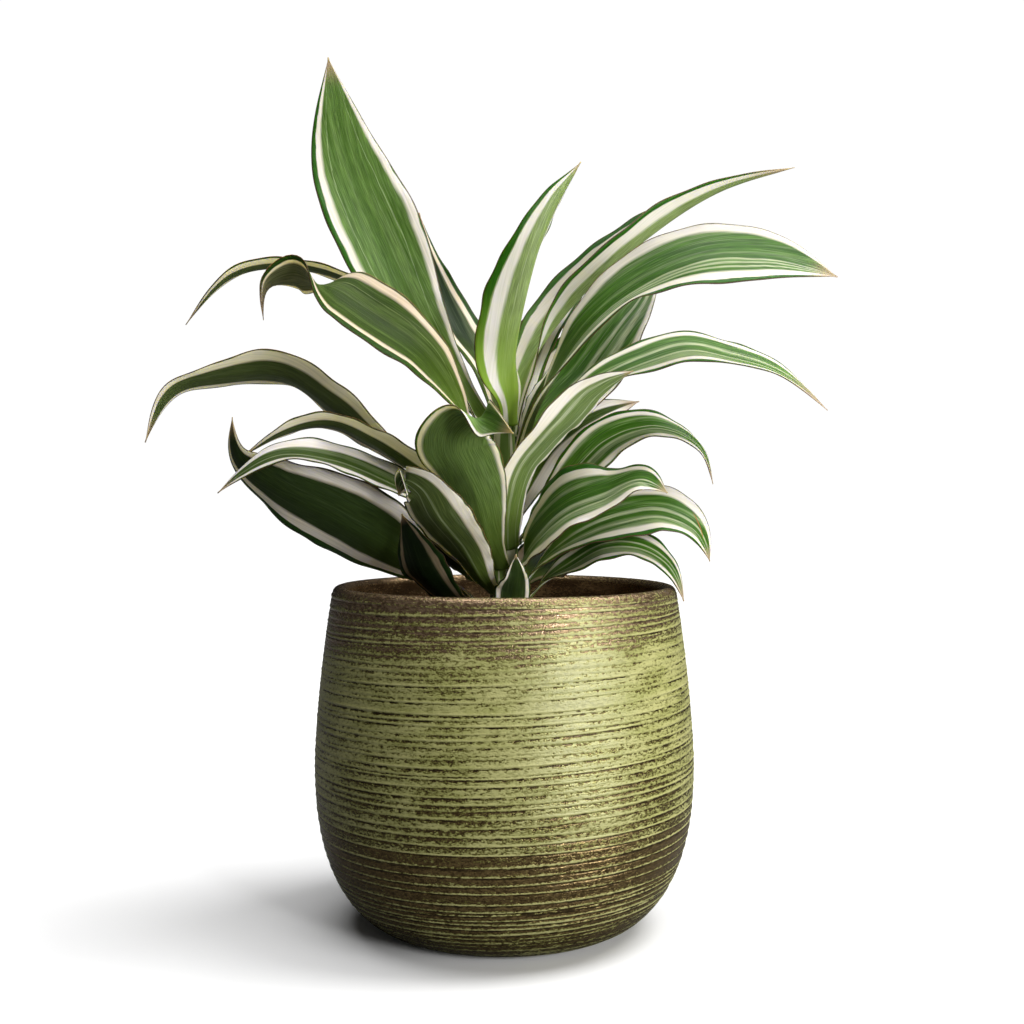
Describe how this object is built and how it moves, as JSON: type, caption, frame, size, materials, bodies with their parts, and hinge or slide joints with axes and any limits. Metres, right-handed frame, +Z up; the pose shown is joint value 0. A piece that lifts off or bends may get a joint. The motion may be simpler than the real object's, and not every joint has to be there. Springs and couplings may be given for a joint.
{
  "type": "potted corn plant",
  "caption": "Potted corn plant: a short green cane with long arching striped leaves, in soil in a ridged, olive-glazed bowl-shaped pot with a flat foot.",
  "frame": {"origin": "middle of the pot's flat foot, on the surface it stands on", "axes": "+Z up along the pot's axis; -Y towards the side the picture shows; +X to that view's right"},
  "size_m": [0.3099, 0.1915, 0.4051],
  "materials": {
    "glaze": "satin",
    "soil": "matte",
    "cane": "satin",
    "leaf": "satin"
  },
  "bodies": {
    "root": {"pot": "glaze", "soil": "soil", "stem": "cane", "leaf_bright": "leaf", "leaf_tall_behind": "leaf", "leaf_tall": "leaf", "leaf_behind_right": "leaf", "leaf_up_right": "leaf", "leaf_big_right": "leaf", "leaf_far_left": "leaf", "leaf_arch_left": "leaf", "leaf_inner_right": "leaf", "leaf_broad_right": "leaf", "leaf_mid_left": "leaf", "leaf_mid_right": "leaf", "leaf_diagonal": "leaf", "leaf_curled_right": "leaf", "leaf_left_upper": "leaf", "leaf_arch_right": "leaf", "leaf_front_mid": "leaf", "leaf_left_lower": "leaf", "leaf_broad_low_right": "leaf", "leaf_low_arch_right": "leaf", "leaf_front_left": "leaf", "leaf_shaded": "leaf", "leaf_low_dark_inner": "leaf", "leaf_low_dark": "leaf", "leaf_low_left": "leaf", "leaf_lowest_right": "leaf", "leaf_front_short": "leaf"}
  },
  "joints": []
}
